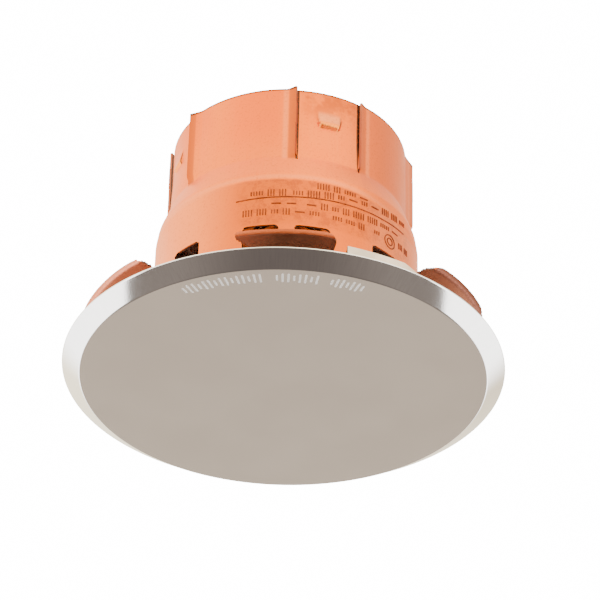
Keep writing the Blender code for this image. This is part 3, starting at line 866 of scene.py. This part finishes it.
class Surface(Nodes):
    """A Principled material, with the textures and places it is mixed from."""

    def __init__(self, name, metallic=1.0):
        self.made = bpy.data.materials.new(name)
        self.made.use_nodes = True
        super().__init__(self.made.node_tree)
        self.bsdf = self.nodes["Principled BSDF"]
        self.bsdf.inputs["Metallic"].default_value = metallic
        self.place = self.nodes.new("ShaderNodeTexCoord").outputs["Object"]

    def noise(self, scale, detail, rough=0.5, place=None):
        node = self.nodes.new("ShaderNodeTexNoise")
        node.inputs["Scale"].default_value = scale
        node.inputs["Detail"].default_value = detail
        node.inputs["Roughness"].default_value = rough
        self.links.new(place or self.place, node.inputs["Vector"])
        return node.outputs["Fac"]

    def round(self):
        """Angle from the near side in degrees, then distance from the axis and height in millimetres."""
        split = self.nodes.new("ShaderNodeSeparateXYZ")
        self.links.new(self.place, split.inputs[0])
        x, y, z = split.outputs
        angle = self.product(self.maths("ARCTAN2", x, self.product(y, -1.0)), 180 / math.pi)
        radius = self.maths("SQRT", self.maths("ADD", self.product(x, x), self.product(y, y)))
        return angle, self.product(radius, 1 / MM), self.product(z, 1 / MM)

    def polar_place(self, angle, radius, height, scale=(1.0, 1.0, 1.0)):
        node = self.nodes.new("ShaderNodeCombineXYZ")
        for socket, value, factor in zip(node.inputs, (angle, radius, height), scale):
            self.links.new(self.product(value, factor), socket)
        return node.outputs[0]

    def paint(self, colour, *shares):
        """Lays a colour over the base where all the shares are high."""
        self.base = self.mix(self.product(*shares), self.base, colour)

    def band(self, value, low, rise, fall, high):
        """1 between rise and fall, 0 below low and above high."""
        return self.product(self.ramp(value, low, rise), self.ramp(value, high, fall))

    def bump(self, height, strength, distance):
        node = self.nodes.new("ShaderNodeBump")
        node.inputs["Strength"].default_value = strength
        node.inputs["Distance"].default_value = distance
        self.links.new(height, node.inputs["Height"])
        self.links.new(node.outputs["Normal"], self.bsdf.inputs["Normal"])

    def use(self, **sockets):
        for name, value in sockets.items():
            self.put(self.bsdf.inputs[name.replace("_", " ").title()], value)
        return self.made


def copper_material():
    n = Surface("drawn_copper")
    angle, radius, z = n.round()
    both, ramp, band = n.product, n.ramp, n.band
    edge = FINGER_CENTRES[0] + FINGER_HALF_ANGLE
    pale = (0.97, 0.31, 0.12)
    cloud = n.noise(95.0, 3.0, rough=0.6)
    grain = n.noise(2300.0, 3.0, rough=0.7)
    draw = n.noise(1.0, 3.0, place=n.polar_place(angle, radius, z, (1.3, 0.6, 0.05)), rough=0.65)
    n.base = n.mix(ramp(cloud, 0.32, 0.68), (0.95, 0.17, 0.006), (0.96, 0.2, 0.014))
    n.paint((0.97, 0.245, 0.035), ramp(draw, 0.35, 0.7), 0.4)
    upper = both(ramp(z, 38.0, 52.0), ramp(n.noise(75.0, 2.0), 0.35, 0.6))
    n.paint((0.86, 0.135, 0.01), upper, 0.5)
    # Painted shade: the near finger is a darker orange towards its top.
    near_finger_shade = both(ramp(z, 43.5, 51.0), band(angle, 3.0, 8.0, edge - 0.1, edge + 0.1))
    near_finger_shade = both(near_finger_shade, ramp(n.noise(260.0, 3.0, rough=0.7), 0.38, 0.62, 0.2, 0.9))
    n.paint((0.52, 0.09, 0.008), near_finger_shade)
    # Painted shade: a deeper orange on the barrel left of the near finger, stronger higher up.
    middle = both(band(angle, -38.0, -22.0, -7.0, 0.0), ramp(z, 33.0, 46.0))
    n.paint((0.93, 0.145, 0.007), middle, 0.8)
    # Painted shade: the barrel right of the near finger is darker, as if lit from the left.
    right = both(ramp(angle, edge - 0.1, edge + 0.5), ramp(angle, 130.0, 100.0), ramp(z, 30.0, 36.0))
    n.paint((0.78, 0.15, 0.035), right, 0.6)
    # The bowl is painted with light and shade: painted shade gives it a darker orange below a painted
    # highlight along the pale ridge of the shoulder.
    off = n.maths("MINIMUM", n.maths("MAXIMUM", n.maths("SUBTRACT", angle, 12.0), 0.0), 50.0)
    above = n.maths("SUBTRACT", z, n.maths("SUBTRACT", 29.4, both(off, off, 0.0011)))
    bowl = ramp(above, 0.25, -0.35)
    n.paint(pale, band(above, 0.1, 0.6, 0.8, 1.7), ramp(n.size(angle), 74.0, 58.0), 0.4)
    bowl_shade = both(ramp(angle, 58.0, 24.0, 0.1, 0.9), ramp(angle, -62.0, -20.0, 0.0, 1.0))
    n.paint((0.72, 0.13, 0.004), bowl, bowl_shade)
    # Painted light: the bowl and the foot of the shoulder are paler on the left.
    left = both(band(angle, -130.0, -90.0, -48.0, -18.0), ramp(above, 2.0, 0.0, 0.0, 0.6))
    n.paint((0.97, 0.28, 0.07), left)
    stamped = both(bowl, ramp(z, 18.5, 20.0), band(angle, -26.0, -14.0, 60.0, 72.0))
    stain = both(stamped, ramp(n.noise(480.0, 5.0, rough=0.85), 0.44, 0.6))
    n.paint((0.6, 0.11, 0.006), stamped, ramp(angle, 58.0, 34.0, 0.0, 0.5))
    n.paint((0.42, 0.075, 0.012), stain, 0.7)
    # Painted light: the bowl is paler on its right side.
    n.paint((0.97, 0.3, 0.13), bowl, ramp(angle, 30.0, 48.0, 0.0, 0.45), ramp(angle, 110.0, 80.0))
    # Beside each slit the free edge is bent out: a pale painted highlight where the bend starts, painted
    # shade on the bend.
    centre = FINGER_CENTRES[0]
    turn = n.maths("SUBTRACT", n.maths("WRAP", angle, centre + 45, centre - 45), centre)
    beside = n.maths("SUBTRACT", n.size(turn), FINGER_HALF_ANGLE)
    free = ramp(z, SLIT_FOOT - 0.2, SLIT_FOOT + 0.6)
    bend_highlight = both(band(beside, 4.2, 5.2, 6.2, 7.6), free)
    n.paint(pale, bend_highlight, ramp(angle, -30.0, -20.0, 0.0, 0.4))
    bent = both(band(beside, -0.1, 0.0, 3.8, 4.8), free)
    dark = both(bent, ramp(angle, 34.0, 33.0, 0.25, 1.0), ramp(beside, 4.6, 0.6, 0.75, 1.0))
    n.paint((0.52, 0.09, 0.006), dark)
    # Painted shadow: a dark line along each slit, under the bent-out edge.
    foot = ramp(z, SLIT_FOOT - 0.3, SLIT_FOOT + 3.0, 0.1, 0.5)
    gap = ramp(n.size(n.maths("ADD", beside, 0.2)), foot, both(foot, 0.6))
    n.paint((0.08, 0.03, 0.018), gap, free)
    # Painted shade on the finger's edge where it is tucked under the bent-out edge.
    tucked = both(ramp(radius, 23.12, 22.98), ramp(beside, -0.45, -0.15))
    n.paint((0.07, 0.028, 0.018), tucked, ramp(z, SLIT_FOOT + 1.0, SLIT_FOOT + 4.0))
    # The tooth pressed out of each finger: a painted highlight on its face, painted light on its lip and
    # painted shade along its slanted side.
    wide = n.size(turn)
    face = both(ramp(wide, 6.2, 5.0), band(z, 44.9, 45.5, 46.6, 48.4))
    n.paint((0.985, 0.38, 0.15), face, ramp(angle, -40.0, -30.0), 0.55)
    lip = both(ramp(wide, 5.4, 4.6), band(z, 43.9, 44.1, 44.9, 45.4))
    n.paint((1.0, 0.3, 0.03), lip, 0.8)
    slant = n.maths("SUBTRACT", turn, n.maths("MULTIPLY_ADD", n.maths("SUBTRACT", z, 44.2), 0.62, 4.5))
    n.paint((0.16, 0.03, 0.01), ramp(n.size(slant), 0.42, 0.15), band(z, 43.9, 44.2, 46.1, 46.8))
    n.paint((0.03, 0.014, 0.012), ramp(z, BARREL_TOP - 0.5, BARREL_TOP - 0.15, 0.0, 0.9))
    n.paint((0.6, 0.11, 0.02), ramp(grain, 0.5, 0.72), 0.5)
    rough = ramp(n.maths("ADD", both(cloud, 0.6), both(draw, 0.4)), 0.3, 0.7, 0.36, 0.47)
    n.bump(n.maths("ADD", both(grain, 0.6), both(draw, 0.5)), 0.5, 0.06 * MM)
    return n.use(base_color=n.base, roughness=rough)


def inside_material():
    """The sheet's other side, a rougher copy of the copper darkened with painted shade: darkest in the
    barrel, browner under the wings, bright on their lips.
    """
    n = Surface("inside_copper_painted_shade")
    angle, radius, z = n.round()
    cloud = n.noise(220.0, 3.0, rough=0.6)
    fine = n.noise(1900.0, 2.0)
    inner = n.mix(n.ramp(cloud, 0.35, 0.65), (0.19, 0.1, 0.08), (0.24, 0.125, 0.1))
    under = n.mix(n.ramp(cloud, 0.35, 0.65), (0.27, 0.112, 0.075), (0.34, 0.14, 0.095))
    under = n.mix(n.ramp(n.size(angle), 36.0, 44.0), under, (0.36, 0.135, 0.085))
    left = n.band(angle, -130.0, -110.0, -44.0, -36.0)
    under = n.mix(left, under, (0.6, 0.2, 0.115))
    n.base = n.mix(n.ramp(z, 9.4, 8.8), inner, under)
    n.paint((0.6, 0.14, 0.045), n.ramp(radius, 38.68, 38.8), n.ramp(n.size(angle), 38.0, 30.0))
    n.paint((0.2, 0.07, 0.045), n.ramp(radius, 38.0, 38.6), n.ramp(angle, 36.0, 44.0))
    n.bump(fine, 0.3, 0.06 * MM)
    return n.use(base_color=n.base, roughness=n.ramp(fine, 0.3, 0.7, 0.42, 0.55))


def edge_material():
    # Painted shade: the cut edges are dark, less dark above the bowl and copper-bright at the wings' tips.
    n = Surface("cut_copper")
    radius, z = n.round()[1:]
    fine = n.noise(1600.0, 3.0)
    n.base = n.mix(n.ramp(fine, 0.35, 0.65), (0.1, 0.05, 0.04), (0.14, 0.07, 0.055))
    n.paint((0.42, 0.12, 0.06), n.ramp(z, 30.0, 34.0))
    tip = n.product(n.ramp(radius, 38.4, 38.7), n.ramp(z, 11.0, 10.5))
    n.paint((0.85, 0.24, 0.09), tip)
    return n.use(base_color=n.base, roughness=n.ramp(fine, 0.3, 0.7, 0.4, 0.55))


def stamp_material():
    n = Surface("stamped_copper")
    tone = n.noise(900.0, 2.0)
    base = n.mix(n.ramp(tone, 0.35, 0.65), (0.12, 0.028, 0.012), (0.26, 0.06, 0.024))
    return n.use(base_color=base, roughness=n.ramp(tone, 0.3, 0.7, 0.45, 0.6))


def plate_material():
    n = Surface("satin_plating")
    angle, radius, z = n.round()
    fine = n.noise(3200.0, 2.0, rough=0.6)
    brush = n.noise(1.0, 2.0, place=n.polar_place(angle, radius, z, (2.2, 0.2, 0.3)), rough=0.7)
    cloud = n.noise(60.0, 2.0)
    base = n.mix(n.ramp(cloud, 0.35, 0.65), (0.785, 0.765, 0.74), (0.815, 0.795, 0.77))
    bevel = n.ramp(radius, 38.2, 38.9)
    base = n.mix(n.product(bevel, n.ramp(brush, 0.4, 0.65)), base, (0.765, 0.745, 0.725))
    rough = n.maths("ADD", n.ramp(cloud, 0.3, 0.7, 0.19, 0.23), n.product(n.ramp(fine, 0.4, 0.7), 0.03))
    rough = n.product(rough, n.ramp(radius, 38.1, 38.8, 1.0, 0.42))
    n.bump(n.maths("ADD", n.product(fine, 0.5), n.product(brush, 0.3)), 0.12, 0.04 * MM)
    return n.use(base_color=base, roughness=rough)


def bar_material():
    # Painted highlight: the raised bars are a matt white, standing in for the light they catch.
    n = Surface("bright_bars", metallic=0.0)
    tone = n.noise(1500.0, 1.0)
    return n.use(base_color=n.mix(tone, (0.96, 0.92, 0.88), (1.0, 0.97, 0.94)), roughness=0.6)


def steel_material(name, colour, rough):
    n = Surface(name)
    cloud = n.noise(140.0, 3.0)
    fine = n.noise(1800.0, 2.0)
    darker = tuple(c * 0.72 for c in colour)
    base = n.mix(n.ramp(cloud, 0.35, 0.7), colour, darker)
    n.bump(fine, 0.1, 0.03 * MM)
    return n.use(base_color=base, roughness=n.ramp(fine, 0.3, 0.7, rough - 0.05, rough + 0.07))


def brass_material(name, colour, rough, turned_marks):
    n = Surface(name)
    angle, radius, z = n.round()
    cloud = n.noise(120.0, 3.0, rough=0.6)
    fine = n.noise(1500.0, 2.0)
    marks = n.noise(1.0, 2.0, place=n.polar_place(angle, radius, z, (0.01, 3.0, 3.0)))
    height = n.maths("ADD", n.product(fine, 1 - turned_marks), n.product(marks, turned_marks))
    base = n.mix(n.ramp(cloud, 0.3, 0.7), colour, tuple(c * k for c, k in zip(colour, (0.82, 0.76, 0.66))))
    n.bump(height, 0.25, 0.06 * MM)
    return n.use(base_color=base, roughness=n.ramp(cloud, 0.3, 0.7, rough - 0.06, rough + 0.08))


def solder_material():
    n = Surface("solder")
    cloud = n.noise(500.0, 3.0, rough=0.7)
    base = n.mix(cloud, (0.42, 0.43, 0.45), (0.72, 0.72, 0.73))
    n.bump(cloud, 0.5, 0.15 * MM)
    return n.use(base_color=base, roughness=n.ramp(cloud, 0.3, 0.7, 0.3, 0.55))


def glass_material():
    n = Surface("clear_glass", metallic=0.0)
    n.bsdf.inputs["IOR"].default_value = 1.47
    rough = n.ramp(n.noise(300.0, 2.0), 0.4, 0.7, 0.02, 0.06)
    return n.use(base_color=(0.98, 0.99, 0.99), transmission_weight=1.0, roughness=rough)


def liquid_material():
    n = Surface("red_liquid", metallic=0.0)
    tone = n.noise(200.0, 1.0)
    n.bsdf.inputs["IOR"].default_value = 1.36
    base = n.mix(tone, (0.75, 0.02, 0.012), (0.85, 0.035, 0.02))
    return n.use(base_color=base, transmission_weight=0.45, roughness=0.05)


def finish(obj, material, slot, body, *replaced):
    """Gives a piece its material or materials, its body and the CAD nodes that it stands for."""
    faces = [face.material_index for face in obj.data.polygons]
    obj.data.materials.clear()
    for one in material if isinstance(material, tuple) else (material,):
        obj.data.materials.append(one)
    obj.data.polygons.foreach_set("material_index", faces)
    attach(obj, body)
    if replaced:
        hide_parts(*replaced)


def dress():
    copper = copper_material()
    sheet = (copper, inside_material(), edge_material())
    stamp = stamp_material()
    satin = plate_material()
    bars = bar_material()
    spring = steel_material("spring_steel", (0.7, 0.61, 0.53), 0.24)
    zinc = steel_material("zinc_steel", (0.72, 0.72, 0.7), 0.34)
    solder = solder_material()
    cast = brass_material("cast_brass", (0.85, 0.58, 0.26), 0.36, 0.2)
    machined = brass_material("turned_brass", (0.88, 0.62, 0.28), 0.26, 0.8)
    bronze = brass_material("bronze", (0.72, 0.42, 0.2), 0.36, 0.3)
    glass = glass_material()
    red = liquid_material()
    finish(make_skirt(), sheet, "copper_sheet", "retainer", "retainer")
    finish(make_legs(), copper, "copper_sheet", "retainer")
    finish(make_wall_marks(), stamp, "copper_sheet", "retainer")
    finish(make_plate(), satin, "plate_metal", "cover", "cover_plate")
    finish(make_plate_marks(), bars, "plate_metal", "cover")
    for k in range(3):
        one = k + 1
        puddle = make_solder(LEG_ANGLES[k], f"solder_{one}")
        finish(puddle, solder, "solder_alloy", "retainer", f"solder_joint_{one}")
        leaf = make_spring(k, f"leaf_{one}")
        finish(leaf, spring, "spring_steel", f"spring_{one}", f"ejector_spring_{one}")
        finish(make_rivet(k, f"rivet_{one}"), zinc, "zinc_steel", "retainer", f"spring_rivet_{one}")
    finish(make_body(), cast, "body_brass", "body", "sprinkler_body")
    finish(make_ring(), zinc, "zinc_steel", "body", "support_ring")
    finish(make_nut(), machined, "turned_brass", "body", "lock_nut")
    finish(make_screw(), machined, "turned_brass", "body", "load_screw")
    finish(make_valve(), machined, "turned_brass", "valve", "valve_cap")
    finish(make_washer(), spring, "spring_steel", "valve", "disc_spring")
    for piece, material in ((make_bulb(), glass), (make_liquid(), red), (make_bubble(), glass)):
        finish(piece, material, "bulb_glass", "body")
        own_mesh(piece)
        if piece.name == "bulb":
            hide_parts("glass_bulb")
    finish(make_deflector(), bronze, "bronze", "deflector", "deflector")
    for side, word in ((-1, "left"), (1, "right")):
        finish(make_pin(side, f"pin_{word}"), zinc, "zinc_steel", "deflector", f"guide_pin_{word}")
        finish(make_stop(side, f"stop_{word}"), zinc, "zinc_steel", "deflector", f"pin_stop_{word}")


# Stage

def make_world():
    world = bpy.data.worlds.new("studio")
    bpy.context.scene.world = world
    world.use_nodes = True
    n = Nodes(world.node_tree)
    direction = n.nodes.new("ShaderNodeSeparateXYZ")
    n.links.new(n.nodes.new("ShaderNodeTexCoord").outputs["Generated"], direction.inputs[0])
    x, y, z = direction.outputs
    down = n.maths("MAXIMUM", n.product(z, -1.0), 0.02)
    across = n.maths("DIVIDE", n.size(x), down)
    forward = n.maths("DIVIDE", y, down)
    near = n.mix(n.ramp(across, 0.1, 0.6), (0.185, 0.155, 0.14), (0.33, 0.28, 0.25))
    below = n.mix(n.ramp(forward, 0.7, 1.0), near, (0.84, 0.69, 0.56))
    side = n.ramp(x, -0.9, 1.0)
    above = n.mix(side, (3.3, 2.95, 2.2), (1.6, 1.36, 1.02))
    level = n.maths("SQRT", n.maths("MAXIMUM", n.maths("SUBTRACT", 1.0, n.product(z, z)), 0.01))
    facing = n.maths("DIVIDE", n.maths("SUBTRACT", n.product(x, 0.57), n.product(y, 0.82)), level)
    above = n.mix(n.ramp(facing, 0.6, 0.95), above, (3.6, 3.2, 2.4))
    lower = n.mix(n.ramp(across, 0.868, 0.9), below, (5.4, 5.4, 5.4))
    shade = n.mix(n.ramp(z, -0.35, -0.12), lower, above)
    camera = n.nodes.new("ShaderNodeLightPath").outputs["Is Camera Ray"]
    colour = n.mix(camera, shade, (16.0, 16.0, 16.0))
    n.links.new(colour, n.nodes["Background"].inputs["Color"])


def make_floor():
    shell = bmesh.new()
    bmesh.ops.create_grid(shell, x_segments=1, y_segments=1, size=4000)
    floor = from_bmesh("floor", shell)
    floor.location.z = -1.5
    n = Surface("pale_floor", metallic=0.0)
    base = n.mix(n.noise(3.0, 3.0), (0.82, 0.87, 0.95), (0.85, 0.9, 0.98))
    floor.data.materials.append(n.use(base_color=base, roughness=0.6))
    floor.visible_glossy = False
    floor.visible_diffuse = False


def make_camera():
    """At the photograph's angle: 32 degrees below the plate's plane, on the near side."""
    elevation = math.radians(31.88)
    distance = 0.55
    place = Vector((0, -distance * math.cos(elevation), -distance * math.sin(elevation)))
    target = Vector((0.002823, 0, 0.019117))
    ahead = (target - place).normalized()
    right = ahead.cross(Vector((0, 0, 1))).normalized()
    up = right.cross(ahead)
    roll = 0.025
    data = bpy.data.cameras.new("camera")
    data.sensor_width = 36
    data.lens = 174.24
    data.clip_start = 0.01
    data.clip_end = 50
    camera = bpy.data.objects.new("camera", data)
    turn = Matrix((right, up, -ahead)).transposed() @ Matrix.Rotation(roll, 3, "Z")
    camera.matrix_world = Matrix.Translation(place) @ turn.to_4x4()
    bpy.context.scene.collection.objects.link(camera)
    bpy.context.scene.camera = camera


make_camera()
make_world()
make_floor()
dress()
